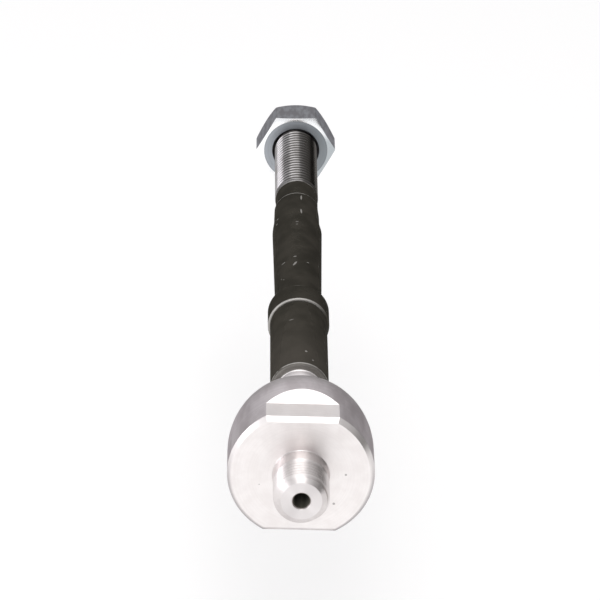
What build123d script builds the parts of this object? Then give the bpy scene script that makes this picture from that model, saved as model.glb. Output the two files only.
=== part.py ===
from build123d import *
import math
import os

# Inner tie rod of a steering rack, in millimetres.
# The rod's axis is Y. The origin is the centre of the socket's rack face, the rack stud points to -Y,
# the rod runs to +Y, and the socket's two wrench flats face up and down, along Z.
# Distances along the rod are measured from the rack face.

# Rack stud, an outside thread drawn at its major radius
stud_radius = 8.0
stud_length = 15.0
stud_chamfer_length = 1.5
stud_chamfer_depth = 2.2
centre_hole_radius = 2.25
centre_hole_depth = 12.0
centre_hole_chamfer = 0.5
drill_point_angle = 118.0

# Socket housing
housing_wall = 4.8
face_chamfer = 1.3
socket_across_flats = 36.5
socket_flat_end = 9.0
socket_runout_length = 4.0
dome_arc_radius = 31.0
mouth_angle = 51.0
lip_height = 1.8
lip_width = 1.2
lip_round = 0.4

# Ball joint, with angles at the ball's centre measured from the rod's axis
ball_centre = 22.0
ball_radius = 14.0
seat_thickness = 2.0
seat_running_gap = 0.1
housing_running_gap = 0.1
swing_limit = 17.5
seat_clear_angle = 1.5
ring_opening_angle = 54.0
grease_hole_radius = 2.0

# Disc spring that loads the seat cup
spring_outer_radius = 8.0
spring_inner_radius = 4.5
spring_thickness = 1.0
spring_cone_height = 0.7
spring_side_gap = 0.3
spring_seat_gap = 0.15

# Neck and rod, with each length measured on from the end of the one before
ball_to_shoulder = 31.2
neck_ball_radius = 6.2
neck_radius = 6.6
neck_ball_fillet = 0.8
neck_shoulder_fillet = 0.8
lower_body_length = 42.5
lower_body_radius = 8.7
lower_body_round = 0.9
collar_length = 10.0
collar_radius = 9.4
collar_front_chamfer = 0.5
collar_back_round = 0.8
collar_foot_fillet = 0.8
upper_body_length = 57.3
upper_start_radius = 7.1
upper_end_radius = 7.9
taper_length = 15.4
taper_end_radius = 7.3
shoulder_length = 0.5
shank_length = 10.1
shank_radius = 6.8

# Wrench flats of the rod, turned about the rod's axis from the socket's flats
rod_across_flats = 13.7
rod_flats_angle = 11.0
taper_before_flats = 3.0
rod_flats_cutter_radius = 12.0

# Rod thread, an outside thread drawn at its major radius
thread_radius = 7.0
thread_length = 59.0
thread_runout = 0.4
thread_chamfer = 1.5
end_centre_radius = 1.6
end_centre_depth = 1.4

# Jam nut, with its angles in degrees and its turn clockwise as seen from the socket
thread_beyond_nut = 7.0
nut_thickness = 12.0
nut_across_flats = 23.0
nut_turn = -1.5
nut_running_gap = 0.05
nut_front_radius = 10.6
nut_front_chamfer_angle = 15.0
nut_back_radius = 11.3
nut_back_chamfer_angle = 50.0
nut_countersink = 0.85

# Worked out from the values above
half_socket_flats = socket_across_flats / 2
seat_inner_radius = ball_radius + seat_running_gap
seat_outer_radius = seat_inner_radius + seat_thickness
cavity_radius = seat_outer_radius + housing_running_gap
barrel_radius = cavity_radius + housing_wall
mouth_radius = cavity_radius * math.sin(math.radians(mouth_angle))
mouth_plane = ball_centre + cavity_radius * math.cos(math.radians(mouth_angle))
dome_arc_centre_radius = barrel_radius - dome_arc_radius
lip_outer_radius = mouth_radius + lip_width
lip_plane = mouth_plane + lip_height
barrel_length = lip_plane - math.sqrt(dome_arc_radius**2 - (lip_outer_radius - dome_arc_centre_radius) ** 2)
dome_middle = (barrel_length + lip_plane) / 2
dome_middle_radius = dome_arc_centre_radius + math.sqrt(dome_arc_radius**2 - (dome_middle - barrel_length) ** 2)
spring_pocket_radius = spring_outer_radius + spring_side_gap
seat_back = ball_centre - math.sqrt(seat_outer_radius**2 - spring_inner_radius**2)
spring_top = seat_back - spring_seat_gap
spring_floor = spring_top - spring_cone_height - spring_thickness
cup_half_angle = 90 - swing_limit - seat_clear_angle
cup_edge_angle = 180 - cup_half_angle
neck_start = ball_centre + math.sqrt(ball_radius**2 - neck_ball_radius**2)
neck_end = ball_centre + ball_to_shoulder
collar_start = neck_end + lower_body_length
collar_end = collar_start + collar_length
upper_end = collar_end + upper_body_length
taper_end = upper_end + taper_length
shank_start = taper_end + shoulder_length
thread_start = shank_start + shank_length
rod_flats_start = upper_end + taper_before_flats
half_rod_flats = rod_across_flats / 2
nut_bore_radius = thread_radius + nut_running_gap
rod_end = thread_start + thread_length
nut_end = rod_end - thread_beyond_nut
nut_position = nut_end - nut_thickness
nut_corner_radius = nut_across_flats / math.sqrt(3)


def cross_plane(distance):
    """Plane across the rod at a distance from the rack face, looking along +Y."""
    return Plane(origin=(0, distance, 0), x_dir=(1, 0, 0), z_dir=(0, 1, 0))


def on_ball(sphere_radius, angle):
    """Radius and distance of a point on a sphere round the ball's centre."""
    turn = math.radians(angle)
    return (sphere_radius * math.sin(turn), ball_centre + sphere_radius * math.cos(turn))


# Socket housing with its rack stud: a turned blank, milled flats, a spherical seat and a spring pocket
with BuildPart() as socket_housing:
    with BuildSketch(Plane.XY):
        with BuildLine():
            Polyline(
                (0, mouth_plane),
                (0, -stud_length),
                (stud_radius - stud_chamfer_depth, -stud_length),
                (stud_radius, -stud_length + stud_chamfer_length),
                (stud_radius, 0),
                (barrel_radius - face_chamfer, 0),
                (barrel_radius, face_chamfer),
                (barrel_radius, barrel_length),
            )
            ThreePointArc(
                (barrel_radius, barrel_length),
                (dome_middle_radius, dome_middle),
                (lip_outer_radius, lip_plane),
            )
            Polyline((lip_outer_radius, lip_plane), (mouth_radius, mouth_plane), (0, mouth_plane))
        make_face()
    revolve(axis=Axis.Y)
    fillet(socket_housing.edges().filter_by(GeomType.CIRCLE).sort_by(Axis.Y)[-1], lip_round)
    with BuildSketch(Plane.YZ) as flat_cutter:
        with BuildLine():
            Polyline(
                (0, half_socket_flats - face_chamfer),
                (face_chamfer, half_socket_flats),
                (socket_flat_end, half_socket_flats),
                (socket_flat_end + socket_runout_length, barrel_radius),
                (socket_flat_end + socket_runout_length, 2 * barrel_radius),
                (0, 2 * barrel_radius),
                close=True,
            )
        make_face()
        mirror(about=Plane.XZ)
    extrude(amount=barrel_radius, both=True, mode=Mode.SUBTRACT)
    with Locations((0, ball_centre, 0)):
        Sphere(cavity_radius, rotation=(90, 0, 0), mode=Mode.SUBTRACT)
    with BuildSketch(cross_plane(spring_floor)):
        Circle(spring_pocket_radius)
    extrude(amount=ball_centre - spring_floor, mode=Mode.SUBTRACT)
    with BuildSketch(Plane.XY):
        with BuildLine():
            Polyline(
                (0, -stud_length),
                (centre_hole_radius + centre_hole_chamfer, -stud_length),
                (centre_hole_radius, -stud_length + centre_hole_chamfer),
                (centre_hole_radius, -stud_length + centre_hole_depth),
                (
                    0,
                    -stud_length
                    + centre_hole_depth
                    + centre_hole_radius / math.tan(math.radians(drill_point_angle / 2)),
                ),
                close=True,
            )
        make_face()
    revolve(axis=Axis.Y, mode=Mode.SUBTRACT)
socket_housing.part.label = "socket_housing"

# Seat ring: the plastic half seat round the neck, from the ball's middle to the mouth
with BuildPart() as seat_ring:
    with BuildSketch(Plane.XY):
        with BuildLine():
            CenterArc((0, ball_centre), seat_outer_radius, 0, 90 - ring_opening_angle)
            CenterArc((0, ball_centre), seat_inner_radius, 0, 90 - ring_opening_angle)
            Line((seat_inner_radius, ball_centre), (seat_outer_radius, ball_centre))
            Line(on_ball(seat_inner_radius, ring_opening_angle), on_ball(seat_outer_radius, ring_opening_angle))
        make_face()
    revolve(axis=Axis.Y)
seat_ring.part.label = "seat_ring"

# Seat cup: the plastic half seat on the stud's side, short enough to swing without meeting the ring
with BuildPart() as seat_cup:
    with BuildSketch(Plane.XY):
        with BuildLine():
            CenterArc((0, ball_centre), seat_outer_radius, -90, cup_half_angle)
            CenterArc((0, ball_centre), seat_inner_radius, -90, cup_half_angle)
            Line((0, ball_centre - seat_outer_radius), (0, ball_centre - seat_inner_radius))
            Line(on_ball(seat_inner_radius, cup_edge_angle), on_ball(seat_outer_radius, cup_edge_angle))
        make_face()
    revolve(axis=Axis.Y)
    with BuildSketch(cross_plane(ball_centre - seat_outer_radius)):
        Circle(grease_hole_radius)
    extrude(amount=seat_outer_radius, mode=Mode.SUBTRACT)
seat_cup.part.label = "seat_cup"

# Disc spring: a coned steel washer between the pocket's floor and the seat cup
with BuildPart() as disc_spring:
    with BuildSketch(Plane.XY):
        with BuildLine():
            Polyline(
                (spring_inner_radius, spring_top - spring_thickness),
                (spring_outer_radius, spring_floor),
                (spring_outer_radius, spring_floor + spring_thickness),
                (spring_inner_radius, spring_top),
                close=True,
            )
        make_face()
    revolve(axis=Axis.Y)
disc_spring.part.label = "disc_spring"

# Tie rod bar: ball, neck, shoulder, lower body, collar, tapered upper body, shank and thread in one forging
neck_corner = (neck_radius, neck_end)
shoulder_corner = (lower_body_radius, neck_end)
neck_ball_corner = (neck_ball_radius, neck_start)
collar_front_foot = (lower_body_radius, collar_start)
collar_front_edge = (collar_radius, collar_start)
collar_back_edge = (collar_radius, collar_end)
collar_back_foot = (upper_start_radius, collar_end)
with BuildPart() as tie_rod_bar:
    with BuildSketch(Plane.XY) as bar_profile:
        with BuildLine():
            ThreePointArc((0, ball_centre - ball_radius), (ball_radius, ball_centre), neck_ball_corner)
            Polyline(
                neck_ball_corner,
                neck_corner,
                shoulder_corner,
                collar_front_foot,
                collar_front_edge,
                collar_back_edge,
                collar_back_foot,
                (upper_end_radius, upper_end),
                (taper_end_radius, taper_end),
                (shank_radius, shank_start),
                (shank_radius, thread_start),
                (thread_radius, thread_start + thread_runout),
                (thread_radius, rod_end - thread_chamfer),
                (thread_radius - thread_chamfer, rod_end),
                (end_centre_radius, rod_end),
                (0, rod_end - end_centre_depth),
                (0, ball_centre - ball_radius),
            )
        make_face()
        for corner, radius in (
            (neck_ball_corner, neck_ball_fillet),
            (neck_corner, neck_shoulder_fillet),
            (shoulder_corner, lower_body_round),
            (collar_back_edge, collar_back_round),
            (collar_back_foot, collar_foot_fillet),
        ):
            fillet(bar_profile.vertices().sort_by_distance(corner)[0], radius)
        chamfer(bar_profile.vertices().sort_by_distance(collar_front_edge)[0], collar_front_chamfer)
    revolve(axis=Axis.Y)
    flats_turn = math.radians(rod_flats_angle)
    flats_plane = Plane(
        origin=(0, 0, 0),
        x_dir=(math.cos(flats_turn), 0, math.sin(flats_turn)),
        z_dir=(-math.sin(flats_turn), 0, math.cos(flats_turn)),
    )
    with BuildSketch(flats_plane):
        with BuildLine():
            runout_arc = CenterArc(
                (half_rod_flats + rod_flats_cutter_radius, rod_flats_start),
                rod_flats_cutter_radius,
                180,
                90,
            )
            Polyline(
                runout_arc @ 1,
                (half_rod_flats + 2 * rod_flats_cutter_radius, rod_flats_start - rod_flats_cutter_radius),
                (half_rod_flats + 2 * rod_flats_cutter_radius, shank_start),
                (half_rod_flats, shank_start),
                runout_arc @ 0,
            )
        make_face()
        mirror(about=Plane.YZ)
    extrude(amount=upper_end_radius, both=True, mode=Mode.SUBTRACT)
tie_rod_bar.part.label = "tie_rod_bar"

# Jam nut: a hexagon with a shallow chamfer in front, a steep one behind, and a countersunk bore
nut_front_depth = (nut_corner_radius - nut_front_radius) * math.tan(math.radians(nut_front_chamfer_angle))
nut_back_depth = (nut_corner_radius - nut_back_radius) * math.tan(math.radians(nut_back_chamfer_angle))
with BuildPart() as jam_nut:
    with BuildSketch(cross_plane(nut_position)):
        RegularPolygon(nut_across_flats / 2, 6, major_radius=False, rotation=nut_turn)
    extrude(amount=nut_thickness)
    with BuildSketch(Plane.XY):
        with BuildLine():
            Polyline(
                (0, nut_position),
                (nut_front_radius, nut_position),
                (nut_corner_radius, nut_position + nut_front_depth),
                (nut_corner_radius, nut_end - nut_back_depth),
                (nut_back_radius, nut_end),
                (0, nut_end),
                close=True,
            )
        make_face()
    revolve(axis=Axis.Y, mode=Mode.INTERSECT)
    with BuildSketch(Plane.XY):
        with BuildLine():
            Polyline(
                (0, nut_position),
                (nut_bore_radius + nut_countersink, nut_position),
                (nut_bore_radius, nut_position + nut_countersink),
                (nut_bore_radius, nut_end - nut_countersink),
                (nut_bore_radius + nut_countersink, nut_end),
                (0, nut_end),
                close=True,
            )
        make_face()
    revolve(axis=Axis.Y, mode=Mode.SUBTRACT)
jam_nut.part.label = "jam_nut"

os.makedirs("parts", exist_ok=True)
export_step(socket_housing.part, "parts/socket_housing.step")
export_step(seat_ring.part, "parts/seat_ring.step")
export_step(seat_cup.part, "parts/seat_cup.step")
export_step(disc_spring.part, "parts/disc_spring.step")
export_step(tie_rod_bar.part, "parts/tie_rod_bar.step")
export_step(jam_nut.part, "parts/jam_nut.step")
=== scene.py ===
import math

import bmesh
import bpy
from mathutils import Matrix, Vector


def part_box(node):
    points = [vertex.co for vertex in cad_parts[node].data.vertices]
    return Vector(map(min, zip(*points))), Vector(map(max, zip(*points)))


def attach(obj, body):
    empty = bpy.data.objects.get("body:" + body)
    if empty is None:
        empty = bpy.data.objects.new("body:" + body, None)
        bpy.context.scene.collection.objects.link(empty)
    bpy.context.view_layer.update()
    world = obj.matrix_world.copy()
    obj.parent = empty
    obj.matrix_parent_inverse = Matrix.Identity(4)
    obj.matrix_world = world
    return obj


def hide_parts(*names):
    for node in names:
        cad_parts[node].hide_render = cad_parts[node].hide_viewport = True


# Inner tie rod of a steering rack, in metres.
# The rod's axis is Y, from the rack stud at -Y to the threaded end at +Y.
# The socket's flats face up and down.

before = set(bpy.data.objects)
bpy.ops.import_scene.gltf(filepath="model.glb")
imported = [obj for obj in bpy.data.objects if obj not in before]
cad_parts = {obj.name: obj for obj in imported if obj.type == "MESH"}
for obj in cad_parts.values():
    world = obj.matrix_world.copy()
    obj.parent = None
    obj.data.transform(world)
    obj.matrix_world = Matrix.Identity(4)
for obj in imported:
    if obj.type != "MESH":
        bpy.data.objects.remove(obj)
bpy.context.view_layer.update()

# Rack stud and its M16 thread
stud_radius = 0.0080
stud_pitch = 0.0015
stud_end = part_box("socket_housing")[0].y
stud_end_radius = 0.0058
stud_chamfer_length = 0.0015
stud_cone_start = stud_end + stud_chamfer_length
stud_cone_slope = (stud_radius - stud_end_radius) / stud_chamfer_length
stud_thread_start = -0.0042
stud_thread_end = stud_end + 0.4 * stud_chamfer_length
stud_groove_run = 0.8 * stud_pitch
stud_plain_share = 0.2
stud_rim_gap = 0.0002
stud_root_fillet = 0.0004
hole_radius = 0.00225
hole_chamfer = 0.0005
hole_depth = 0.0120
hole_tip_length = 0.00135

# Socket housing
ball_centre = 0.0220
cavity_radius = 0.0162
mouth_angle = math.radians(51)
lip_height = 0.0018
lip_width = 0.0012
lip_round = 0.0004
barrel_radius = 0.0210
face_chamfer = 0.0013
half_socket_flats = 0.01825
socket_flat_end = 0.0090
socket_runout_length = 0.0040
socket_runout_end = socket_flat_end + 2 * socket_runout_length
flat_cutter_top = 2 * barrel_radius - half_socket_flats
dome_arc_radius = 0.0310
spring_pocket_radius = 0.0083
spring_pocket_floor = 0.00469
mouth_radius = cavity_radius * math.sin(mouth_angle)
mouth_plane = ball_centre + cavity_radius * math.cos(mouth_angle)
lip_outer_radius = mouth_radius + lip_width
lip_plane = mouth_plane + lip_height
dome_arc_centre_radius = barrel_radius - dome_arc_radius
dome_reach = lip_outer_radius - dome_arc_centre_radius
barrel_length = lip_plane - math.sqrt(dome_arc_radius**2 - dome_reach**2)

# Tie rod bar and its M14 thread
ball_radius = 0.0140
neck_ball_radius = 0.0062
neck_radius = 0.0066
neck_end = 0.0532
neck_fillet = 0.0008
lower_body_radius = 0.0087
lower_body_round = 0.0009
collar_start = 0.0957
collar_end = 0.1057
collar_radius = 0.0094
collar_front_chamfer = 0.0005
collar_back_round = 0.0008
collar_foot_fillet = 0.0008
upper_start_radius = 0.0071
upper_end_radius = 0.0079
upper_end = 0.1630
taper_end_radius = 0.0073
taper_end = 0.1784
shank_start = 0.1789
shank_radius = 0.0068
half_rod_flats = 0.00685
rod_flats_turn = math.radians(11)
rod_flats_start = 0.1660
rod_flats_cutter_radius = 0.0120
thread_start = 0.1890
thread_chamfer = 0.0015
rod_thread_radius = 0.0070
rod_pitch = 0.0020
rod_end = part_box("tie_rod_bar")[1].y
rod_cone_start = rod_end - thread_chamfer
rod_thread_low = thread_start + 0.0004
rod_thread_high = rod_end - 0.1 * thread_chamfer
rod_groove_run = 1.2 * rod_pitch
rod_plain_share = 0.1
end_centre_radius = 0.0016
end_centre_depth = 0.0014

# Rings beside the rod's flats, so that cutting the flats breaks up small faces only
runout_ring = upper_end - 0.0028
shank_ring = shank_start + 0.0003

# Jam nut
nut_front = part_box("jam_nut")[0].y
nut_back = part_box("jam_nut")[1].y
half_nut_flats = 0.0115
nut_corner_radius = half_nut_flats / math.cos(math.radians(30))
nut_turn = math.radians(-1.5)
nut_front_radius = 0.0106
nut_front_angle = math.radians(15)
nut_back_radius = 0.0113
nut_back_angle = math.radians(50)
nut_bore_radius = 0.00705
nut_countersink = 0.00085
nut_corner_round = 0.0003
nut_rim_round = 0.0003

# Fineness of the round forms
round_steps = 96
dome_steps = 14
cavity_steps = 24
ball_steps = 36
runout_steps = 16
corner_segments = 3
fillet_segments = 6
rounding_segments = 8
smooth_angle = math.radians(17)

# Reach of the selections and the cuts
same_place = 1e-6
ring_reach = 5 * same_place
rim_reach = 0.0001
cut_margin = 0.005


# Modelling by hand


def deselect():
    """Nothing is selected or active in object mode."""
    if bpy.context.object and bpy.context.object.mode != "OBJECT":
        bpy.ops.object.mode_set(mode="OBJECT")
    bpy.ops.object.select_all(action="DESELECT")


def edit(piece):
    """Goes into edit mode on one piece, with nothing of it selected."""
    deselect()
    piece.select_set(True)
    bpy.context.view_layer.objects.active = piece
    bpy.ops.object.mode_set(mode="EDIT")
    bpy.ops.mesh.select_all(action="DESELECT")


def distance_out(point):
    """How far a point lies from the rod's axis."""
    return math.hypot(point.x, point.z)


def arc(centre, radius, start, end, steps):
    """Points of an arc in a half section, as (radius, distance), with angles from +Y in degrees."""
    angles = [math.radians(start + (end - start) * step / steps) for step in range(steps + 1)]
    return [(centre[0] + radius * math.sin(a), centre[1] + radius * math.cos(a)) for a in angles]


def draw_line(name, points):
    """A line drawn from one vertex by extruding it from point to point."""
    deselect()
    bpy.ops.mesh.primitive_plane_add(size=cut_margin)
    piece = bpy.context.object
    piece.name = name
    piece.data.name = name
    bpy.ops.object.mode_set(mode="EDIT")
    bpy.ops.mesh.select_mode(type="VERT")
    bpy.ops.mesh.select_all(action="SELECT")
    bpy.ops.mesh.merge(type="CENTER")
    bpy.ops.transform.translate(value=points[0])
    for before, after in zip(points, points[1:]):
        step = Vector(after) - Vector(before)
        bpy.ops.mesh.extrude_vertices_move(TRANSFORM_OT_translate={"value": step})
    return piece


def close_mesh():
    """Merges doubles and turns all faces of the piece in edit mode outwards."""
    bpy.ops.mesh.select_all(action="SELECT")
    bpy.ops.mesh.remove_doubles(threshold=same_place)
    bpy.ops.mesh.select_all(action="SELECT")
    bpy.ops.mesh.normals_make_consistent(inside=False)


def turned(name, half_section):
    """A turned form: a half section of (radius, distance) points, spun round the rod's axis."""
    piece = draw_line(name, [(radius, along, 0) for radius, along in half_section])
    bpy.ops.mesh.select_all(action="SELECT")
    bpy.ops.mesh.spin(steps=round_steps, angle=2 * math.pi, center=(0, 0, 0), axis=(0, 1, 0))
    close_mesh()
    bpy.ops.object.mode_set(mode="OBJECT")
    return piece


def prism(name, outline, push):
    """A block with the outline as its end, extruded by the push."""
    piece = draw_line(name, outline)
    bpy.ops.mesh.select_all(action="SELECT")
    bpy.ops.mesh.edge_face_add()
    bpy.ops.mesh.select_all(action="SELECT")
    bpy.ops.mesh.extrude_region_move(TRANSFORM_OT_translate={"value": push})
    close_mesh()
    bpy.ops.object.mode_set(mode="OBJECT")
    return piece


def pick_edges(piece, wanted):
    """Selects the edges that the test wants, in edit mode."""
    bpy.ops.mesh.select_mode(type="EDGE")
    bpy.ops.mesh.select_all(action="DESELECT")
    mesh = bmesh.from_edit_mesh(piece.data)
    for edge in mesh.edges:
        if wanted(edge):
            edge.select_set(True)
    bmesh.update_edit_mesh(piece.data)


def bevel_ring(piece, radius, along, width, segments):
    """Rounds or chamfers the circular edge of that radius and distance."""

    def on_ring(edge):
        return all(
            abs(distance_out(end.co) - radius) < ring_reach and abs(end.co.y - along) < ring_reach
            for end in edge.verts
        )

    edit(piece)
    pick_edges(piece, on_ring)
    bpy.ops.mesh.bevel(offset=width, segments=segments, profile=0.5, affect="EDGES", clamp_overlap=True)
    bpy.ops.object.mode_set(mode="OBJECT")


def apply_boolean(piece, tool, operation):
    """Cuts the piece with a tool, or keeps what both share, and takes the tool away."""
    deselect()
    piece.select_set(True)
    bpy.context.view_layer.objects.active = piece
    cut = piece.modifiers.new("cut", "BOOLEAN")
    cut.operation = operation
    cut.object = tool
    cut.solver = "EXACT"
    bpy.ops.object.modifier_apply(modifier=cut.name)
    bpy.data.objects.remove(tool)


def join(first, *others):
    """Makes one mesh of several."""
    deselect()
    for piece in (first, *others):
        piece.select_set(True)
    bpy.context.view_layer.objects.active = first
    bpy.ops.object.join()
    return first


def bridge(piece, low, high):
    """Joins the two open rims that lie between two distances along the rod."""
    edit(piece)
    pick_edges(piece, lambda edge: edge.is_boundary and all(low < end.co.y < high for end in edge.verts))
    bpy.ops.mesh.bridge_edge_loops()
    bpy.ops.object.mode_set(mode="OBJECT")


def finish_mesh(piece):
    """Closed, facing outwards, with round forms shaded smooth and edges kept sharp."""
    edit(piece)
    close_mesh()
    bpy.ops.object.mode_set(mode="OBJECT")
    bpy.ops.object.shade_smooth_by_angle(angle=smooth_angle)
    return piece


def groove_share(distance, run, plain_share):
    """The share of the full groove that far into a thread: none at its start, and later all of it."""
    return min(max(distance / run - plain_share, 0), 1)


def thread_band(name, crest, pitch, low, high, groove_depth, cone_radius):
    """An open band of right-hand 60 degree thread between two distances along the rod.

    For a distance, groove_depth gives the share of the full groove and cone_radius the largest radius.
    """
    # Proportions of a metric thread
    root_round = 0.1443 * pitch
    root = crest - 0.6134 * pitch
    half_groove = 7 / 16 * pitch
    next_groove = 9 / 16 * pitch
    flank_points = 3
    root_steps = 5
    spare_turns = 3
    bottom = arc((root + root_round, 0), root_round, 210, 330, root_steps)
    foot_radius, foot_along = bottom[0]
    groove = []
    for step in range(flank_points):
        share = step / flank_points
        radius = crest + (foot_radius - crest) * share
        groove.append((radius, -half_groove + (foot_along + half_groove) * share))
    groove += bottom
    groove += [(radius, -along) for radius, along in reversed(groove[:flank_points])]
    groove.append((crest, next_groove))
    first_turn = low - spare_turns / 2 * pitch
    piece = draw_line(name, [(radius, first_turn + along, 0) for radius, along in groove])
    bpy.ops.object.mode_set(mode="OBJECT")
    helix = piece.modifiers.new("helix", "SCREW")
    helix.axis = "Y"
    helix.angle = 2 * math.pi
    helix.screw_offset = pitch
    helix.iterations = math.ceil((high - low) / pitch) + spare_turns
    helix.steps = round_steps
    helix.render_steps = round_steps
    bpy.ops.object.modifier_apply(modifier=helix.name)
    for vertex in piece.data.vertices:
        radius = distance_out(vertex.co)
        along = vertex.co.y
        wanted = min(crest - (crest - radius) * groove_depth(along), cone_radius(along))
        vertex.co.x *= wanted / radius
        vertex.co.z *= wanted / radius
    edit(piece)
    bpy.ops.mesh.select_all(action="SELECT")
    bpy.ops.mesh.remove_doubles(threshold=same_place)
    for plane, normal in ((low, -1), (high, 1)):
        bpy.ops.mesh.select_all(action="SELECT")
        bpy.ops.mesh.bisect(plane_co=(0, plane, 0), plane_no=(0, normal, 0), clear_outer=True)
    bpy.ops.object.mode_set(mode="OBJECT")
    return piece


# The pieces


def make_socket():
    """Ball socket with its rack stud: turned, threaded, then milled flat on two sides."""
    end = turned(
        "stud_end",
        [
            (0, stud_end + hole_depth + hole_tip_length),
            (hole_radius, stud_end + hole_depth),
            (hole_radius, stud_end + hole_chamfer),
            (hole_radius + hole_chamfer, stud_end),
            (stud_end_radius, stud_end),
        ],
    )
    thread = thread_band(
        "stud_thread",
        stud_radius,
        stud_pitch,
        stud_thread_end,
        stud_thread_start,
        lambda along: groove_share(stud_thread_start - along, stud_groove_run, stud_plain_share),
        lambda along: stud_radius - max(stud_cone_start - along, 0) * stud_cone_slope,
    )
    dome_centre = (dome_arc_centre_radius, barrel_length)
    dome_end = math.degrees(math.acos((lip_plane - barrel_length) / dome_arc_radius))
    pocket_angle = 180 - math.degrees(math.asin(spring_pocket_radius / cavity_radius))
    body = turned(
        "socket_with_stud",
        [
            (stud_radius, stud_thread_start + stud_rim_gap),
            (stud_radius, 0),
            (barrel_radius - face_chamfer, 0),
            (barrel_radius, face_chamfer),
            *arc(dome_centre, dome_arc_radius, 90, dome_end, dome_steps),
            *arc((0, ball_centre), cavity_radius, math.degrees(mouth_angle), pocket_angle, cavity_steps),
            (spring_pocket_radius, spring_pocket_floor),
            (0, spring_pocket_floor),
        ],
    )
    bevel_ring(body, stud_radius, 0, stud_root_fillet, fillet_segments)
    bevel_ring(body, lip_outer_radius, lip_plane, lip_round, rounding_segments)
    socket = join(body, thread, end)
    bridge(socket, stud_thread_start - rim_reach, stud_thread_start + stud_rim_gap + rim_reach)
    bridge(socket, stud_end - rim_reach, stud_thread_end + rim_reach)
    finish_mesh(socket)
    reach = barrel_radius + cut_margin
    for side in (1, -1):
        outline = [
            (-reach, -cut_margin, side * (half_socket_flats - face_chamfer - cut_margin)),
            (-reach, face_chamfer, side * half_socket_flats),
            (-reach, socket_flat_end, side * half_socket_flats),
            (-reach, socket_runout_end, side * flat_cutter_top),
            (-reach, -cut_margin, side * flat_cutter_top),
        ]
        apply_boolean(socket, prism("flat_cutter", outline, (2 * reach, 0, 0)), "DIFFERENCE")
    return finish_mesh(socket)


def make_bar():
    """Tie rod bar: ball, neck, body with its collar, wrench flats, shank and thread in one forging."""
    ball_end = 180 - math.degrees(math.asin(neck_ball_radius / ball_radius))
    ball_arc = arc((0, ball_centre), ball_radius, 180, 180 - ball_end, ball_steps)
    upper_slope = (upper_end_radius - upper_start_radius) / (upper_end - collar_end)
    bar = turned(
        "rod_with_thread",
        [
            *ball_arc,
            (neck_radius, neck_end),
            (lower_body_radius, neck_end),
            (lower_body_radius, collar_start),
            (collar_radius, collar_start),
            (collar_radius, collar_end),
            (upper_start_radius, collar_end),
            (upper_start_radius + (runout_ring - collar_end) * upper_slope, runout_ring),
            (upper_end_radius, upper_end),
            (taper_end_radius, taper_end),
            (shank_radius, shank_start),
            (shank_radius, shank_ring),
            (shank_radius, thread_start),
        ],
    )
    for radius, along, width, segments in (
        (*ball_arc[-1], neck_fillet, fillet_segments),
        (neck_radius, neck_end, neck_fillet, fillet_segments),
        (lower_body_radius, neck_end, lower_body_round, rounding_segments),
        (collar_radius, collar_start, collar_front_chamfer, fillet_segments),
        (collar_radius, collar_end, collar_back_round, rounding_segments),
        (upper_start_radius, collar_end, collar_foot_fillet, fillet_segments),
    ):
        bevel_ring(bar, radius, along, width, segments)
    thread = thread_band(
        "rod_thread",
        rod_thread_radius,
        rod_pitch,
        rod_thread_low,
        rod_thread_high,
        lambda along: groove_share(along - rod_thread_low, rod_groove_run, rod_plain_share),
        lambda along: rod_thread_radius - max(along - rod_cone_start, 0),
    )
    end = turned(
        "rod_end",
        [
            (rod_thread_radius - thread_chamfer, rod_end),
            (end_centre_radius, rod_end),
            (0, rod_end - end_centre_depth),
        ],
    )
    join(bar, thread, end)
    bridge(bar, thread_start - rim_reach, rod_thread_low + rim_reach)
    bridge(bar, rod_thread_high - rim_reach, rod_end + rim_reach)
    finish_mesh(bar)
    side = Vector((math.cos(rod_flats_turn), 0, math.sin(rod_flats_turn)))
    up = Vector((-math.sin(rod_flats_turn), 0, math.cos(rod_flats_turn)))
    cutter_centre = (half_rod_flats + rod_flats_cutter_radius, rod_flats_start)
    section = [
        *arc(cutter_centre, rod_flats_cutter_radius, 180, 270, runout_steps),
        (half_rod_flats, shank_start),
        (cutter_centre[0], shank_start),
    ]
    for way in (1, -1):
        outline = [
            way * across * side + Vector((0, along, 0)) - barrel_radius * up for across, along in section
        ]
        apply_boolean(bar, prism("rod_flat_cutter", outline, 2 * barrel_radius * up), "DIFFERENCE")
    return finish_mesh(bar)


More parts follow.
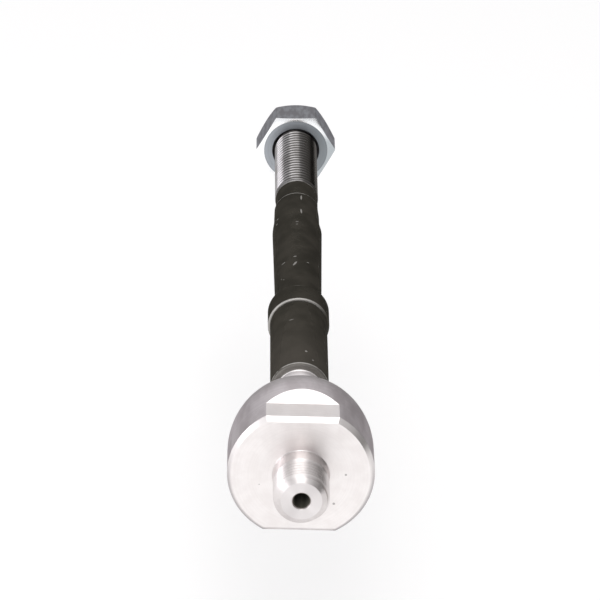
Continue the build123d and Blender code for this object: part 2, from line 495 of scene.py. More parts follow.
def make_nut():
    """Hexagon jam nut: a hexagon bar chamfered on both faces, bored and countersunk."""
    thickness = nut_back - nut_front
    deselect()
    bpy.ops.mesh.primitive_cylinder_add(
        vertices=6,
        radius=nut_corner_radius,
        depth=thickness,
        location=(0, (nut_front + nut_back) / 2, 0),
        rotation=(math.pi / 2, math.pi / 6 + nut_turn, 0),
    )
    nut = bpy.context.object
    nut.name = "hexagon_jam_nut"
    nut.data.name = nut.name
    bpy.ops.object.transform_apply(location=True, rotation=True, scale=True)
    edit(nut)
    pick_edges(nut, lambda edge: abs(edge.verts[0].co.y - edge.verts[1].co.y) > thickness / 2)
    bpy.ops.mesh.bevel(offset=nut_corner_round, segments=corner_segments, profile=0.5, affect="EDGES")
    close_mesh()
    bpy.ops.object.mode_set(mode="OBJECT")
    rim_radius = nut_corner_radius + nut_rim_round
    front_depth = (rim_radius - nut_front_radius) * math.tan(nut_front_angle)
    back_depth = (rim_radius - nut_back_radius) * math.tan(nut_back_angle)
    blank = turned(
        "nut_blank",
        [
            (0, nut_front),
            (nut_front_radius, nut_front),
            (rim_radius, nut_front + front_depth),
            (rim_radius, nut_back - back_depth),
            (nut_back_radius, nut_back),
            (0, nut_back),
        ],
    )
    apply_boolean(nut, blank, "INTERSECT")
    flare_radius = nut_bore_radius + nut_countersink + cut_margin
    bore = turned(
        "nut_bore",
        [
            (0, nut_front - cut_margin),
            (flare_radius, nut_front - cut_margin),
            (nut_bore_radius, nut_front + nut_countersink),
            (nut_bore_radius, nut_back - nut_countersink),
            (flare_radius, nut_back + cut_margin),
            (0, nut_back + cut_margin),
        ],
    )
    apply_boolean(nut, bore, "DIFFERENCE")
    return finish_mesh(nut)


# Node helpers


def feed(tree, node, **values):
    """Sets a node's plain values and joins its linked ones, by the input's name or by its number."""
    for key, value in values.items():
        numbered = key[0] == "i" and key[1:].isdigit()
        socket = node.inputs[int(key[1:]) if numbered else key.replace("_", " ")]
        if isinstance(value, bpy.types.NodeSocket):
            tree.links.new(value, socket)
        else:
            socket.default_value = value


def add_node(tree, kind, settings=None, **values):
    """A node with its settings and its inputs."""
    node = tree.nodes.new(kind)
    for key, value in (settings or {}).items():
        setattr(node, key, value)
    feed(tree, node, **values)
    return node


def maths(tree, operation, first, second=0.0, third=0.0):
    """A Math node's result."""
    node = add_node(tree, "ShaderNodeMath", {"operation": operation}, i0=first, i1=second, i2=third)
    return node.outputs[0]


def vector_maths(tree, operation, first, second=(0, 0, 0)):
    """A Vector Math node's result: a number from a dot product or a length, and otherwise a vector."""
    node = add_node(tree, "ShaderNodeVectorMath", {"operation": operation}, i0=first, i1=second)
    return node.outputs["Value" if operation in ("DOT_PRODUCT", "LENGTH") else "Vector"]


def split(tree, vector):
    """The X, Y and Z of a vector."""
    return add_node(tree, "ShaderNodeSeparateXYZ", Vector=vector).outputs


def axis_distances(tree, place):
    """How far a point is from the rod's axis, and how far along it."""
    across, along, height = split(tree, place)
    squares = [maths(tree, "POWER", part, 2.0) for part in (across, height)]
    return maths(tree, "SQRT", maths(tree, "ADD", *squares)), along


def remap(tree, value, low, high, to_low=0.0, to_high=1.0):
    """A value brought smoothly from one range to another."""
    settings = {"interpolation_type": "SMOOTHSTEP"}
    values = {"Value": value, "From_Min": low, "From_Max": high, "To_Min": to_low, "To_Max": to_high}
    return add_node(tree, "ShaderNodeMapRange", settings, **values).outputs[0]


def mix_colour(tree, mask, first, second):
    """Two colours mixed by a mask."""
    node = add_node(tree, "ShaderNodeMix", {"data_type": "RGBA"}, i0=mask, i6=first, i7=second)
    return node.outputs[2]


def tint(tree, colour, mask, share, other):
    """A colour with a share of another laid over it by a mask."""
    return mix_colour(tree, maths(tree, "MULTIPLY", mask, share), colour, other)


def grainy(tree, pattern, spread, start):
    """A roughness that changes from a start by a spread, as a pattern goes from nought to one."""
    return maths(tree, "MULTIPLY_ADD", pattern, spread, start)


def scaled(tree, place, scale, location=(0, 0, 0)):
    """Coordinates that are moved and stretched."""
    return add_node(tree, "ShaderNodeMapping", Vector=place, Location=location, Scale=scale).outputs[0]


def new_group(name, inputs, outputs):
    """An empty node group with named inputs and outputs, its given values and its result."""
    group = bpy.data.node_groups.new(name, "ShaderNodeTree")
    for direction, sockets in (("INPUT", inputs), ("OUTPUT", outputs)):
        for label, kind in sockets.items():
            group.interface.new_socket(name=label, in_out=direction, socket_type="NodeSocket" + kind)
    return group, group.nodes.new("NodeGroupInput").outputs, group.nodes.new("NodeGroupOutput")


def use_group(tree, group, **values):
    """The results of a node group that is placed in a material with its own values."""
    return add_node(tree, "ShaderNodeGroup", {"node_tree": group}, **values).outputs


# Node groups for the effects that several materials share


def make_turning_marks():
    """Fine grooves left by a lathe tool, which follow the radius on a face and the axis on a barrel."""
    group, given, result = new_group(
        "turning_marks",
        {"Vector": "Vector", "Spacing": "Float", "Unevenness": "Float"},
        {"Height": "Float", "Streaks": "Float"},
    )
    radius, along = axis_distances(group, given["Vector"])
    turns = maths(group, "DIVIDE", maths(group, "ADD", radius, along), given["Spacing"])
    ridge = maths(group, "SINE", maths(group, "MULTIPLY", turns, 2 * math.pi))
    bands_each_turn = 0.31
    look = {"W": turns, "Scale": bands_each_turn, "Detail": 5.0}
    bands = add_node(group, "ShaderNodeTexNoise", {"noise_dimensions": "1D"}, **look).outputs[0]
    wander = maths(group, "MULTIPLY", maths(group, "SUBTRACT", bands, 0.5), given["Unevenness"])
    height = maths(group, "ADD", maths(group, "MULTIPLY_ADD", ridge, 0.25, 0.5), wander)
    feed(group, result, Height=height, Streaks=bands)
    return group


def make_mottle():
    """Soft patches, such as uneven oil or plating, and a fine grain."""
    group, given, result = new_group(
        "mottle",
        {"Vector": "Vector", "Patch Size": "Float", "Grain Size": "Float"},
        {"Patches": "Float", "Grain": "Float"},
    )
    place = given["Vector"]
    coarse = maths(group, "DIVIDE", 1.0, given["Patch Size"])
    fine = maths(group, "DIVIDE", 1.0, given["Grain Size"])
    look = {"Vector": place, "Scale": coarse, "Detail": 3.0, "Roughness": 0.55}
    patches = add_node(group, "ShaderNodeTexNoise", **look)
    grain = add_node(group, "ShaderNodeTexNoise", Vector=place, Scale=fine, Detail=2.0)
    feed(group, result, Patches=patches.outputs[0], Grain=grain.outputs[0])
    return group


def make_nick():
    """One small mark: a soft-edged streak of a given half length and half width round a place."""
    group, given, result = new_group(
        "nick",
        {
            "Vector": "Vector",
            "Place": "Vector",
            "Direction": "Vector",
            "Length": "Float",
            "Width": "Float",
        },
        {"Mask": "Float"},
    )
    offset = vector_maths(group, "SUBTRACT", given["Vector"], given["Place"])
    run = vector_maths(group, "DOT_PRODUCT", offset, given["Direction"])
    whole = maths(group, "POWER", vector_maths(group, "LENGTH", offset), 2.0)
    rest = maths(group, "SUBTRACT", whole, maths(group, "MULTIPLY", run, run))
    aside = maths(group, "SQRT", maths(group, "MAXIMUM", rest, 0.0))
    long_share = maths(group, "DIVIDE", maths(group, "ABSOLUTE", run), given["Length"])
    wide_share = maths(group, "DIVIDE", aside, given["Width"])
    squares = [maths(group, "POWER", share, 2.0) for share in (long_share, wide_share)]
    feed(group, result, Mask=remap(group, maths(group, "ADD", *squares), 0.35, 1.0, 1.0, 0.0))
    return group


def make_rub_and_highlight():
    """A worn ring round the rod at a distance along it, broken up, and stronger towards the lit side, so
    that it is partly a painted highlight.
    """
    group, given, result = new_group(
        "edge_rub",
        {"Vector": "Vector", "Along": "Float", "Width": "Float", "Cover": "Float", "Side": "Vector"},
        {"Mask": "Float"},
    )
    place = given["Vector"]
    gap = maths(group, "ABSOLUTE", maths(group, "SUBTRACT", split(group, place)[1], given["Along"]))
    band = remap(group, maths(group, "DIVIDE", gap, given["Width"]), 0.5, 1.0, 1.0, 0.0)
    chips_each_metre = 260.0
    bare_level = 0.95
    softness = 0.2
    chips = add_node(group, "ShaderNodeTexNoise", Vector=place, Scale=chips_each_metre, Detail=3.0)
    low = maths(group, "SUBTRACT", bare_level, given["Cover"])
    broken = remap(group, chips.outputs[0], low, maths(group, "ADD", low, softness))
    outwards = vector_maths(group, "NORMALIZE", vector_maths(group, "MULTIPLY", place, (1, 0, 1)))
    facing = vector_maths(group, "DOT_PRODUCT", outwards, given["Side"])
    worn = maths(group, "MULTIPLY", broken, remap(group, facing, -0.35, 0.6))
    feed(group, result, Mask=maths(group, "MULTIPLY", band, worn))
    return group


turning_marks = make_turning_marks()
mottle = make_mottle()
nick = make_nick()
edge_rub = make_rub_and_highlight()

# The part of a mottle's range over which one tone turns into the other
patch_range = (0.35, 0.65)


# Materials


def new_material(name):
    """A material with its node tree, its shader and its object coordinates."""
    material = bpy.data.materials.new(name)
    material.use_nodes = True
    tree = material.node_tree
    place = tree.nodes.new("ShaderNodeTexCoord").outputs["Object"]
    return material, tree, tree.nodes["Principled BSDF"], place


def bump(tree, shader, height, depth):
    """Small relief on the surface, with its depth in metres."""
    feed(tree, shader, Normal=add_node(tree, "ShaderNodeBump", Height=height, Distance=depth).outputs[0])


def lathe_shine(tree, shader, amount):
    """Stretches the shine across the fine rings that a lathe leaves round the rod's axis."""
    ring = add_node(tree, "ShaderNodeTangent", {"direction_type": "RADIAL", "axis": "Y"}).outputs[0]
    feed(tree, shader, Tangent=ring, Anisotropic=amount, Anisotropic_Rotation=0.25)


def bare_steel(name, light, dark, streak, streak_share, edge_tint, shine, groove_depth):
    """Steel off a lathe: two tones in soft patches, darker streaks round the axis, a drawn-out shine."""
    material, tree, shader, place = new_material(name)
    drawn_out = scaled(tree, place, (1, 0.3, 1))
    marks = use_group(tree, turning_marks, Vector=place, Spacing=0.00017, Unevenness=0.6)
    patches = use_group(tree, mottle, Vector=drawn_out, Patch_Size=0.005, Grain_Size=0.0005)
    colour = mix_colour(tree, remap(tree, patches["Patches"], *patch_range), light, dark)
    colour = tint(tree, colour, remap(tree, marks["Streaks"], 0.35, 0.7), streak_share, streak)
    feed(tree, shader, Metallic=1.0, Specular_Tint=edge_tint)
    lathe_shine(tree, shader, shine)
    bump(tree, shader, marks["Height"], groove_depth)
    return material, tree, shader, place, colour, patches["Grain"]


def machined_steel():
    """Bright steel of the turned face and the milled flats.

    The face has dark specks, a painted dark reflection of the stud above it and painted shade on the rim
    low down.
    """
    material, tree, shader, place, colour, grain = bare_steel(
        "machined_steel",
        light=(0.915, 0.880, 0.870, 1),
        dark=(0.865, 0.826, 0.815, 1),
        streak=(0.76, 0.715, 0.70, 1),
        streak_share=0.15,
        edge_tint=(0.50, 0.48, 0.49, 1),
        shine=0.4,
        groove_depth=0.000002,
    )
    speck_colour = (0.16, 0.14, 0.13, 1)
    stud_reflection_colour = (0.42, 0.37, 0.37, 1)
    rim_shade_colour = (0.42, 0.40, 0.41, 1)
    reflection_stretch = (1.0, 1.0, 1.3)
    reflection_offset = (-0.0005, 0, -0.0095)
    reflection_core, reflection_reach = 0.0005, 0.0056
    specks = 0.0
    for x, z, size in ((0.0096, -0.0088, 0.00045), (0.0127, 0.0006, 0.0004), (-0.0118, -0.0031, 0.0002)):
        spot = {"Place": (x, 0, z), "Direction": (1, 0, 0), "Length": size, "Width": size}
        specks = maths(tree, "MAXIMUM", use_group(tree, nick, Vector=place, **spot)[0], specks)
    colour = tint(tree, colour, specks, 0.6, speck_colour)
    radius, along = axis_distances(tree, place)
    # Painted reflection: a soft dark patch on the face above the stud, where the stud is mirrored
    spread = vector_maths(tree, "LENGTH", scaled(tree, place, reflection_stretch, reflection_offset))
    painted_reflection = remap(tree, spread, reflection_core, reflection_reach, 0.60, 0.0)
    colour = tint(tree, colour, painted_reflection, remap(tree, along, 0.0001, 0.0005, 1.0, 0.0), stud_reflection_colour)
    # Painted shade: the chamfer rim goes darker low down
    rim = remap(tree, radius, barrel_radius - face_chamfer, barrel_radius - 0.0003)
    shade_low_down = remap(tree, split(tree, place)[2], -0.003, 0.010, 0.75, 0.0)
    colour = tint(tree, colour, rim, shade_low_down, rim_shade_colour)
    feed(tree, shader, Base_Color=colour, Roughness=grainy(tree, grain, spread=0.10, start=0.31))
    return material


def stud_steel():
    """The rack stud: bright crests, grooves painted brown as shade, a paler end and a centre hole
    painted dark as shade.
    """
    material, tree, shader, place, colour, grain = bare_steel(
        "stud_steel",
        light=(0.780, 0.742, 0.735, 1),
        dark=(0.660, 0.622, 0.615, 1),
        streak=(0.70, 0.655, 0.64, 1),
        streak_share=0.15,
        edge_tint=(0.90, 0.86, 0.86, 1),
        shine=0.85,
        groove_depth=0.000002,
    )
    groove_shade_colour = (0.24, 0.200, 0.18, 1)
    end_colour = (0.78, 0.745, 0.742, 1)
    hole_shade_colour = (0.09, 0.085, 0.070, 1)
    dark_from, dark_at = 0.0003, 0.0009
    radius, along = axis_distances(tree, place)
    # Painted shade: the thread grooves turn brown with their depth
    cone = maths(tree, "MAXIMUM", maths(tree, "SUBTRACT", stud_cone_start, along), 0.0)
    cone = maths(tree, "MULTIPLY", cone, stud_cone_slope)
    depth = maths(tree, "SUBTRACT", stud_radius, maths(tree, "ADD", radius, cone))
    threaded = remap(tree, along, stud_thread_start, stud_thread_start + 0.0005, 1.0, 0.0)
    past_end = remap(tree, along, stud_end + 0.00002, stud_end + 0.0002)
    groove = maths(tree, "MULTIPLY", threaded, past_end)
    groove = maths(tree, "MULTIPLY", remap(tree, depth, dark_from, dark_at), groove)
    colour = tint(tree, colour, groove, 0.75, groove_shade_colour)
    end_face = remap(tree, along, stud_end + 0.00001, stud_end + 0.00006, 1.0, 0.0)
    colour = mix_colour(tree, end_face, colour, end_colour)
    # Painted shade: the inside of the centre hole is painted dark
    inside = remap(tree, radius, hole_radius + 0.00005, hole_radius + 0.0003, 1.0, 0.0)
    colour = mix_colour(tree, inside, colour, hole_shade_colour)
    rough = grainy(tree, grain, spread=0.10, start=0.32)
    dirt = maths(tree, "MULTIPLY", maths(tree, "ADD", groove, inside), 0.15)
    feed(tree, shader, Base_Color=colour, Roughness=maths(tree, "ADD", rough, dirt))
    return material


def barrel_steel():
    """The barrel and the dome, turned less finely, with a painted highlight and less roughness towards
    the rolled-in mouth.
    """
    material, tree, shader, place, colour, grain = bare_steel(
        "barrel_steel",
        light=(0.820, 0.775, 0.795, 1),
        dark=(0.650, 0.605, 0.620, 1),
        streak=(0.56, 0.520, 0.525, 1),
        streak_share=0.35,
        edge_tint=(0.05, 0.05, 0.05, 1),
        shine=0.5,
        groove_depth=0.000003,
    )
    mouth_highlight_colour = (0.97, 0.93, 0.93, 1)
    # Painted highlight: the colour lightens towards the mouth, where the roughness also drops
    rolled = remap(tree, split(tree, place)[1], 0.4 * lip_plane, 0.9 * lip_plane)
    colour = mix_colour(tree, rolled, colour, mouth_highlight_colour)
    rough = grainy(tree, grain, spread=0.12, start=0.36)
    rough = maths(tree, "ADD", rough, maths(tree, "MULTIPLY", rolled, -0.10))
    feed(tree, shader, Base_Color=colour, Roughness=rough)
    return material


def neck_steel():
    """The ground ball and the bright neck."""
    material, tree, shader, _, colour, grain = bare_steel(
        "neck_steel",
        light=(0.980, 0.945, 0.955, 1),
        dark=(0.940, 0.900, 0.910, 1),
        streak=(0.80, 0.755, 0.755, 1),
        streak_share=0.1,
        edge_tint=(0.70, 0.67, 0.68, 1),
        shine=0.6,
        groove_depth=0.000002,
    )
    feed(tree, shader, Base_Color=colour, Roughness=grainy(tree, grain, spread=0.10, start=0.36))
    return material


def thread_steel():
    """The rod's thread: grey crests, painted shade that goes black in the roots, and painted shade on
    its right side.
    """
    material, tree, shader, place, colour, grain = bare_steel(
        "thread_steel",
        light=(0.400, 0.392, 0.398, 1),
        dark=(0.300, 0.292, 0.294, 1),
        streak=(0.20, 0.190, 0.185, 1),
        streak_share=0.3,
        edge_tint=(0.15, 0.14, 0.13, 1),
        shine=0.6,
        groove_depth=0.000001,
    )
    right_side_shade_colour, root_shade_colour = (0.075, 0.070, 0.062, 1), (0.030, 0.027, 0.023, 1)
    radius = axis_distances(tree, place)[0]
    # Painted shade: the thread darkens towards its right side
    colour = tint(tree, colour, remap(tree, split(tree, place)[0], -0.0025, 0.0045), 0.85, right_side_shade_colour)
    # Painted shade: the thread goes black towards the groove roots
    root = remap(tree, radius, rod_thread_radius - 0.0006, rod_thread_radius - 0.00002, 1.0, 0.0)
    colour = mix_colour(tree, root, colour, root_shade_colour)
    feed(tree, shader, Base_Color=colour, Roughness=grainy(tree, grain, spread=0.10, start=0.16))
    return material


# Worn rings on the black rod, partly painted highlights on its round edges that are strongest on the lit
# side, as distance, half width, cover and the side that is worn most
lit_left_top = (-0.64, 0, 0.77)
no_side = (0, 0.6, 0)
rod_rubs_and_highlights = (
    (neck_end + 0.0007, 0.00030, 0.62, (0, 0, 1)),
    (collar_start + 0.0002, 0.00032, 0.78, lit_left_top),
    (collar_end - 0.0004, 0.0006, 0.45, no_side),
    (taper_end - 0.0001, 0.00032, 0.62, (-0.34, 0, 0.94)),
    (thread_start - 0.0001, 0.0003, 0.60, lit_left_top),
)

# Nicks on it, a few of them painted highlights, as degrees round from the top, distance, surface radius,
# half length, half width and degrees of tilt
upper_low_radius = 0.0073
upper_middle_radius = 0.0074
rod_nicks_and_highlights = (
    (9.0, 0.1743, taper_end_radius, 0.0026, 0.00035, 2),
    (7.9, 0.1632, upper_end_radius, 0.0020, 0.00030, -3),
    (-2.2, 0.1551, upper_end_radius, 0.0007, 0.00025, 88),
    (-2.5, 0.1533, upper_end_radius, 0.0006, 0.00025, 86),
    # Painted highlights at the left edge of the flats' run-out
    (-54.0, 0.1631, upper_end_radius, 0.0005, 0.00030, 85),
    (-57.0, 0.1600, upper_end_radius, 0.0005, 0.00030, 80),
    (-8.5, 0.1301, upper_middle_radius, 0.0006, 0.00030, 80),
    (-8.9, 0.1251, upper_middle_radius, 0.0016, 0.00040, 24),
    (-39.4, 0.1280, upper_middle_radius, 0.0009, 0.00028, 66),
    (23.5, 0.1269, upper_middle_radius, 0.0005, 0.00025, 85),
    (-47.4, 0.1181, upper_low_radius, 0.0003, 0.00020, 70),
    (-39.7, 0.1167, upper_low_radius, 0.0003, 0.00020, 40),
    # Painted highlight on the fillet behind the collar
    (-5.0, 0.1073, upper_start_radius, 0.0013, 0.00050, 88),
    (-17.0, 0.0832, lower_body_radius, 0.0009, 0.00018, 80),
    (11.6, 0.0618, lower_body_radius, 0.0005, 0.00045, 0),
    (25.5, 0.0573, lower_body_radius, 0.0004, 0.00035, 0),
    (150.0, 0.1280, upper_middle_radius, 0.0015, 0.00030, 65),
    (95.0, 0.0800, lower_body_radius, 0.0012, 0.00030, -40),
    (-120.0, 0.0720, lower_body_radius, 0.0011, 0.00040, 25),
)


def black_steel():
    """Black oiled forging with worn edges and small bright nicks, and painted highlights, sheen and
    reflection.
    """
    black = (0.0430, 0.0405, 0.0335, 1)
    brown = (0.0600, 0.0555, 0.0465, 1)
    lower_body_sheen_colour = (0.105, 0.095, 0.083, 1)
    bare_colour = (0.50, 0.485, 0.465, 1)
    side_tint = (0.15, 0.15, 0.15, 1)
    material, tree, shader, place = new_material("black_steel")
    patches = use_group(tree, mottle, Vector=place, Patch_Size=0.007, Grain_Size=0.0007)
    colour = mix_colour(tree, remap(tree, patches["Patches"], *patch_range), black, brown)
    along = split(tree, place)[1]
    # Painted sheen: the lower body gets lighter towards the neck
    colour = mix_colour(tree, remap(tree, along, neck_end, collar_start, 0.6, 0.1), colour, lower_body_sheen_colour)
    # Painted reflection of the bright dome on the body's front face, laid in as bare steel
    front_face_reflection = remap(tree, along, neck_end + 0.0001, neck_end + 0.0006, 1.0, 0.0)
    bare = maths(tree, "MULTIPLY", front_face_reflection, 0.25)
    for distance, width, cover, side in rod_rubs_and_highlights:
        ring = {"Along": distance, "Width": width, "Cover": cover, "Side": side}
        bare = maths(tree, "MAXIMUM", use_group(tree, edge_rub, Vector=place, **ring)[0], bare)
    for turn, distance, surface, length, width, tilt in rod_nicks_and_highlights:
        turn, tilt = math.radians(turn), math.radians(tilt)
        centre = (surface * math.sin(turn), distance, surface * math.cos(turn))
        way = (math.cos(turn) * math.sin(tilt), math.cos(tilt), -math.sin(turn) * math.sin(tilt))
        mark = {"Place": centre, "Direction": way, "Length": length, "Width": width}
        bare = maths(tree, "MAXIMUM", use_group(tree, nick, Vector=place, **mark)[0], bare)
    feed(
        tree,
        shader,
        Base_Color=tint(tree, colour, bare, 0.85, bare_colour),
        Metallic=maths(tree, "MULTIPLY_ADD", bare, 0.4, 0.5),
        Roughness=grainy(tree, patches["Patches"], spread=0.20, start=0.40),
        Specular_IOR_Level=0.0,
        Specular_Tint=side_tint,
    )
    sunk = maths(tree, "MULTIPLY", bare, -1.5)
    bump(tree, shader, maths(tree, "MULTIPLY_ADD", patches["Grain"], 1.4, sunk), 0.000010)
    return material


def zinc_steel():
    """Bluish zinc plating, gone grey in patches on the rolled sides.

    The turned face is lighter, and painted shade darkens it to the right.
    """
    blue = (0.385, 0.392, 0.415, 1)
    grey = (0.280, 0.275, 0.290, 1)
    streak_colour = (0.23, 0.235, 0.24, 1)
    face_dark = (0.370, 0.395, 0.425, 1)
    face_light = (0.420, 0.445, 0.475, 1)
    face_right_shade = (0.200, 0.225, 0.235, 1)
    edge_tint = (0.45, 0.45, 0.47, 1)
    material, tree, shader, place = new_material("zinc_steel")
    marks = use_group(tree, turning_marks, Vector=place, Spacing=0.00022, Unevenness=0.9)
    drawn_out = scaled(tree, place, (1, 0.35, 1))
    patches = use_group(tree, mottle, Vector=drawn_out, Patch_Size=0.0014, Grain_Size=0.0004)
    colour = mix_colour(tree, remap(tree, patches["Patches"], 0.38, 0.62), blue, grey)
    across, along, _ = split(tree, place)
    turned_face = remap(tree, along, nut_front + 0.00002, nut_front + 0.0001, 1.0, 0.0)
    turned_tone = mix_colour(tree, patches["Grain"], face_dark, face_light)
    # Painted shade: the turned face darkens to the right
    turned_tone = mix_colour(tree, remap(tree, across, 0.001, 0.009, 0.0, 0.6), turned_tone, face_right_shade)
    colour = mix_colour(tree, turned_face, colour, turned_tone)
    colour = tint(tree, colour, remap(tree, marks["Streaks"], 0.4, 0.7), 0.3, streak_colour)
    rough = grainy(tree, patches["Grain"], spread=0.20, start=0.34)
    feed(tree, shader, Base_Color=colour, Roughness=rough, Metallic=1.0, Specular_Tint=edge_tint)
    bump(tree, shader, marks["Height"], 0.000004)
    return material


def bright_zinc():
    """The same plating where a tool cut the chamfer clean, with painted shade on its lower right."""
    white = (1.0, 1.0, 1.0, 1)
    bluish = (0.95, 0.965, 0.98, 1)
    lower_right_shade_colour = (0.42, 0.46, 0.48, 1)
    material, tree, shader, place = new_material("bright_zinc")
    marks = use_group(tree, turning_marks, Vector=place, Spacing=0.00018, Unevenness=0.5)
    patches = use_group(tree, mottle, Vector=place, Patch_Size=0.003, Grain_Size=0.0012)
    colour = mix_colour(tree, remap(tree, patches["Patches"], *patch_range), white, bluish)
    across, _, height = split(tree, place)
    # Painted shade: the chamfer darkens on its lower right
    shade_low_down = remap(tree, height, 0.0030, 0.0075, 1.0, 0.0)
    lower_right_shade = maths(tree, "MULTIPLY", remap(tree, across, 0.004, 0.008), shade_low_down)
    colour = tint(tree, colour, lower_right_shade, 0.9, lower_right_shade_colour)
    rough = grainy(tree, patches["Grain"], spread=0.08, start=0.14)
    feed(tree, shader, Base_Color=colour, Roughness=rough, Metallic=1.0)
    bump(tree, shader, marks["Height"], 0.0000005)
    return material


def seat_plastic():
    """Natural acetal with a film of grease."""
    acetal, grease_colour = (0.80, 0.77, 0.69, 1), (0.52, 0.44, 0.30, 1)
    material, tree, shader, place = new_material("seat_plastic")
    patches = use_group(tree, mottle, Vector=place, Patch_Size=0.003, Grain_Size=0.0004)
    grease = remap(tree, patches["Patches"], 0.45, 0.62)
    colour = tint(tree, acetal, grease, 0.6, grease_colour)
    feed(tree, shader, Base_Color=colour, Roughness=grainy(tree, grease, spread=-0.25, start=0.5))
    bump(tree, shader, patches["Grain"], 0.00001)
    return material


def spring_steel():
    """Dark oiled spring steel."""
    brown, blue = (0.30, 0.29, 0.28, 1), (0.20, 0.20, 0.22, 1)
    material, tree, shader, place = new_material("spring_steel")
    marks = use_group(tree, turning_marks, Vector=place, Spacing=0.00018, Unevenness=0.7)
    patches = use_group(tree, mottle, Vector=place, Patch_Size=0.003, Grain_Size=0.0004)
    colour = mix_colour(tree, remap(tree, patches["Patches"], *patch_range), brown, blue)
    rough = grainy(tree, patches["Grain"], spread=0.15, start=0.28)
    feed(tree, shader, Base_Color=colour, Roughness=rough, Metallic=1.0)
    bump(tree, shader, marks["Height"], 0.000004)
    return material


def dress(piece, material):
    """Gives a piece or a node its finish."""
    piece.data.materials.clear()
    piece.data.materials.append(material)


def paint_faces(piece, material, wanted):
    """Gives another finish to the faces that the test wants."""
    piece.data.materials.append(material)
    edit(piece)
    bpy.ops.mesh.select_mode(type="FACE")
    mesh = bmesh.from_edit_mesh(piece.data)
    for face in mesh.faces:
        face.select_set(wanted(face.calc_center_median(), face.normal))
    bmesh.update_edit_mesh(piece.data)
    piece.active_material_index = len(piece.data.materials) - 1
    bpy.ops.object.material_slot_assign()
    bpy.ops.object.mode_set(mode="OBJECT")


# Tests for the faces that get another finish, each given a face's centre and its normal
just_past = 0.00001
skin = 0.00005
neck_margin = 0.00025
least_lean = 0.2
flat_lean = 0.99


def on_barrel(centre, normal):
    """Whether a face of the socket lies on its round barrel or its dome."""
    if not face_chamfer < centre.y < lip_plane:
        return False
    fall = max(centre.y - barrel_length, 0)
    surface = dome_arc_centre_radius + math.sqrt(dome_arc_radius**2 - fall**2)
    return distance_out(centre) > surface - skin


def on_stud(centre, normal):
    """Whether a face of the socket lies on its stud, up to the fillet at the face."""
    return centre.y < -just_past


def on_neck(centre, normal):
    """Whether a face of the bar lies on the ball or the bright neck."""
    return centre.y < neck_end - neck_margin


def on_thread(centre, normal):
    """Whether a face of the bar lies on its thread."""
    return centre.y > thread_start + just_past and distance_out(centre) > end_centre_radius


def on_chamfer(centre, normal):
    """Whether a face of the nut lies on a chamfer outside its flat ring."""
    return least_lean < abs(normal.y) < flat_lean and distance_out(centre) > nut_front_radius


steel, black, zinc = machined_steel(), black_steel(), zinc_steel()
for make, node, body, material, slot in (
    (make_socket, "socket_housing", "socket", steel, "machined_steel"),
    (make_bar, "tie_rod_bar", "rod", black, "black_steel"),
    (make_nut, "jam_nut", "nut", zinc, "zinc_steel"),
):
    piece = make()
    dress(piece, material)
    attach(piece, body)
    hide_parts(node)
for name, material, wanted in (
    ("socket_with_stud", stud_steel(), on_stud),
    ("socket_with_stud", barrel_steel(), on_barrel),
    ("rod_with_thread", neck_steel(), on_neck),
    ("rod_with_thread", thread_steel(), on_thread),
    ("hexagon_jam_nut", bright_zinc(), on_chamfer),
):
    paint_faces(bpy.data.objects[name], material, wanted)
plastic = seat_plastic()
for node, material in (("seat_cup", plastic), ("seat_ring", plastic), ("disc_spring", spring_steel())):
    dress(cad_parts[node], material)

# Floor, lights and camera

# The floor lies just below the jam nut at the rod's lowest swing, so that no pose dips into it
floor_size = 12.0
floor_gap = 0.002
floor_glow = 0.14
floor_colour = (0.90, 0.90, 0.90, 1)
lowest_swing = math.radians(17.5)
nut_travel_out = 0.006
nut_reach = nut_back + nut_travel_out - ball_centre
floor_level = -(nut_reach * math.sin(lowest_swing) + nut_corner_radius + floor_gap)

# The dark card stands at the right and faces the rod
card_place = Vector((0.43, -0.22, 0.07))
card_aim = Vector((0, 0.2, 0.07))
card_width = 0.7
card_height = 0.18
card_colour = (0.05, 0.045, 0.04, 1)


def studio_plane(name, size, matrix, colour):
    """A matt plane of the studio, with its material and its mesh at its place."""
    deselect()
    bpy.ops.mesh.primitive_plane_add(size=size)
    plane = bpy.context.object
    plane.name = name
    plane.data.transform(matrix)
    material, tree, shader, _ = new_material(name)
    feed(tree, shader, Base_Color=colour, Roughness=0.9, Specular_IOR_Level=0.0)
    dress(plane, material)
    return plane, tree, shader


def make_floor():
    """A plain white floor that keeps the object's shadow."""
    below = Matrix.Translation((0, 0, floor_level))
    floor, tree, shader = studio_plane("studio_floor", floor_size, below, floor_colour)
    rays = tree.nodes.new("ShaderNodeLightPath").outputs
    seen = maths(tree, "MAXIMUM", rays["Is Camera Ray"], rays["Is Glossy Ray"])
    seen = maths(tree, "MAXIMUM", seen, rays["Is Transmission Ray"])
    glow = maths(tree, "MULTIPLY", seen, floor_glow)
    feed(tree, shader, Emission_Color=(1, 1, 1, 1), Emission_Strength=glow)


def make_world():
    """Pale studio walls: dim near the floor, bright above it and in front, and darker to the right."""
    low_wall, high_wall = (0.52, 0.515, 0.52, 1), (0.80, 0.795, 0.80, 1)
    front_wall, right_wall = (0.95, 0.95, 0.96, 1), (0.10, 0.095, 0.09, 1)
    world = bpy.data.worlds.new("studio")
    bpy.context.scene.world = world
    world.use_nodes = True
    tree = world.node_tree
    across, along, height = split(tree, tree.nodes.new("ShaderNodeTexCoord").outputs["Generated"])
    walls = mix_colour(tree, remap(tree, height, -0.1, 0.6), low_wall, high_wall)
    walls = mix_colour(tree, remap(tree, along, -0.95, -0.4, 0.85, 0.0), walls, front_wall)
    walls = mix_colour(tree, remap(tree, across, -0.2, 0.9, 0.0, 0.4), walls, right_wall)
    feed(tree, tree.nodes["Background"], Color=walls, Strength=1.0)


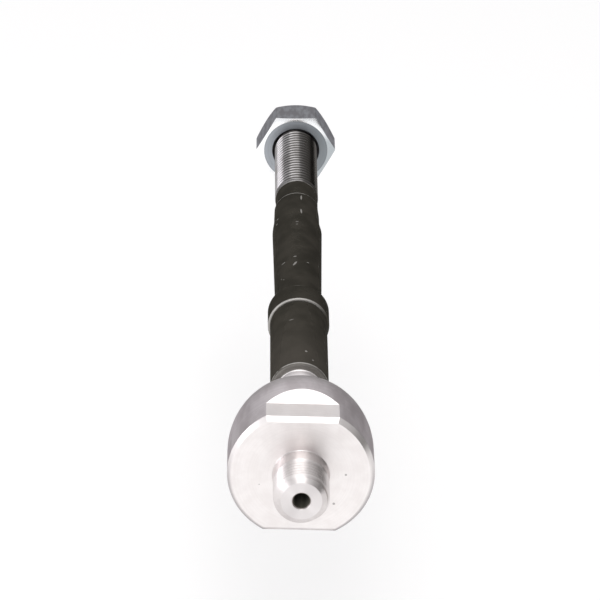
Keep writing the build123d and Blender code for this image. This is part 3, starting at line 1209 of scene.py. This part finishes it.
def make_dark_card():
    """A dark card, seen only in the gloss, that gives the thread and the rod their dark side."""
    turn = (card_aim - card_place).to_track_quat("Z", "Y").to_matrix().to_4x4()
    stretch = Matrix.Diagonal((card_width, card_height, 1, 1))
    card = studio_plane("dark_card", 1, Matrix.Translation(card_place) @ turn @ stretch, card_colour)[0]
    card.visible_camera = False
    card.visible_diffuse = False
    card.visible_shadow = False


def add_softbox(name, place, aim, width, height, power, colour):
    """A rectangular soft light that faces a point."""
    light = bpy.data.lights.new(name, "AREA")
    light.shape = "RECTANGLE"
    light.size = width
    light.size_y = height
    light.energy = power
    light.color = colour
    lamp = bpy.data.objects.new(name, light)
    bpy.context.scene.collection.objects.link(lamp)
    lamp.location = place
    lamp.rotation_euler = (Vector(aim) - Vector(place)).to_track_quat("-Z", "Y").to_euler()


def make_camera():
    """Long lens, low in front of the rack stud, turned and rolled a little as in the photograph."""
    face_distance = 1.119
    elevation, azimuth, roll = math.radians(25.85), math.radians(-1.3), math.radians(-2.0)
    image_size = 600
    focal_pixels = 3950.0
    face_pixel = (301.0, 475.7)
    level = math.cos(elevation)
    look = Vector((math.sin(-azimuth) * level, math.cos(azimuth) * level, -math.sin(elevation)))
    right = Matrix.Rotation(roll, 3, look) @ look.cross(Vector((0, 0, 1))).normalized()
    up = right.cross(look)
    aside = (face_pixel[0] - image_size / 2) / focal_pixels * face_distance
    below = (face_pixel[1] - image_size / 2) / focal_pixels * face_distance
    camera = bpy.data.cameras.new("camera")
    camera.sensor_width = 36.0
    camera.lens = camera.sensor_width * focal_pixels / image_size
    camera.clip_start = 0.05
    camera.clip_end = 30.0
    rig = bpy.data.objects.new("camera", camera)
    bpy.context.scene.collection.objects.link(rig)
    turn = Matrix((right, up, -look)).transposed().to_4x4()
    rig.matrix_world = Matrix.Translation(-look * face_distance - right * aside + up * below) @ turn
    bpy.context.scene.camera = rig


make_floor()
make_world()
make_dark_card()
warm_white, cool_white = (1.0, 0.99, 0.98), (0.97, 0.96, 1.0)
for name, place, aim, width, height, power, colour in (
    ("overhead", (-0.05, 0.15, 1.35), (0, 0.08, 0), 1.3, 0.9, 3.8, warm_white),
    ("top_front", (-0.02, -1.1, 1.3), (0, 0.05, 0), 0.9, 1.4, 5.6, warm_white),
    ("left", (-1.15, -0.85, 0.3), (0, 0.1, 0.02), 0.8, 0.6, 4.8, cool_white),
):
    add_softbox(name, place, aim, width, height, power, colour)
make_camera()

bpy.context.scene.view_settings.view_transform = "Standard"
